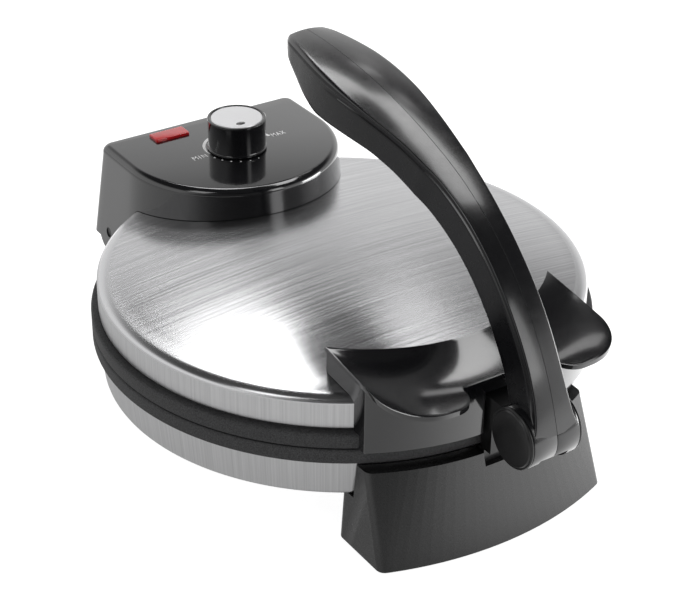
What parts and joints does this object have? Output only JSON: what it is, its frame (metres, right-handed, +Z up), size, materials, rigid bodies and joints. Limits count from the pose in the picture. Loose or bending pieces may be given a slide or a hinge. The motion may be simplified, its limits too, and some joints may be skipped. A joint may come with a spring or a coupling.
{
  "type": "electric roti maker",
  "caption": "Round countertop flatbread press with hinged brushed-steel lid, winged lid handle, curved press lever on a front bracket and black control housing with heat dial and red lamp.",
  "frame": {"origin": "on the table under the centre of the overall box, which is also the axis of the round body", "axes": "+X to the right as the user stands in front, +Y to the back where the control housing is, +Z up"},
  "size_m": [0.275, 0.372, 0.212],
  "materials": {
    "steel_base": "brushed, fine upright lines",
    "steel_lid": "brushed across the top, polished rolled shoulder",
    "ring_plastic": "fine matte texture",
    "cooking_plate": "dark non-stick coating",
    "heater_sheath": "dull heat-toned sheath",
    "shield_sheet": "plain sheet",
    "inner_steel": "plated steel",
    "pale_insulator": "pale heat-proof moulding",
    "satin_black": "satin black moulding",
    "gloss_black": "gloss black moulding",
    "bracket_metal": "black painted metal",
    "rubber": "matte",
    "red_lens": "translucent red",
    "knob_aluminium": "satin disc"
  },
  "bodies": {
    "base": {"base_shell": "steel_base", "lower_ring": "ring_plastic", "lower_plate": "cooking_plate", "lower_element": "heater_sheath", "lower_reflector": "shield_sheet", "lower_plate_studs": "inner_steel", "plate_screws": "inner_steel", "terminal_block": "pale_insulator", "front_foot": "satin_black", "rear_stand": "satin_black", "foot_pads": "rubber", "foot_screws": "inner_steel", "lever_bracket": "bracket_metal", "bracket_screws": "inner_steel", "lever_axle": "inner_steel", "hinge_pins": "inner_steel", "cord_gland": "rubber"},
    "lid": {"lid_shell": "steel_lid", "upper_ring": "ring_plastic", "upper_plate": "cooking_plate", "upper_element": "heater_sheath", "upper_reflector": "shield_sheet", "upper_plate_studs": "inner_steel", "thermal_fuse": "pale_insulator", "wing_handle": "gloss_black", "handle_screws": "inner_steel", "control_housing": "gloss_black", "housing_base": "satin_black", "housing_screws": "inner_steel", "thermostat": "pale_insulator", "lamp_lens": "red_lens", "lamp_body": "pale_insulator"},
    "dial": {"knob": "gloss_black", "knob_disc": "knob_aluminium", "thermostat_spindle": "inner_steel"},
    "lever": {"lever_left_half": "gloss_black", "lever_right_half": "gloss_black", "lever_end_caps": "satin_black", "lever_screws": "inner_steel"}
  },
  "joints": [
    {"name": "lid_hinge", "type": "hinge", "parent": "base", "child": "lid", "pos_m": [0, 0.146, 0.06], "axis": [-1, 0, 0], "range_deg": [0, 95]},
    {"name": "lever_swing", "type": "hinge", "parent": "base", "child": "lever", "pos_m": [0, -0.17, 0.0775], "axis": [1, 0, 0], "range_deg": [0, 114]},
    {"name": "dial_turn", "type": "hinge", "parent": "lid", "child": "dial", "pos_m": [0, 0.112, 0.112], "axis": [0, 0, 1], "range_deg": [-60, 110]}
  ],
  "couplings": [
    {"joint": "lever_swing", "follows": "lid_hinge", "ratio": 1.2}
  ]
}
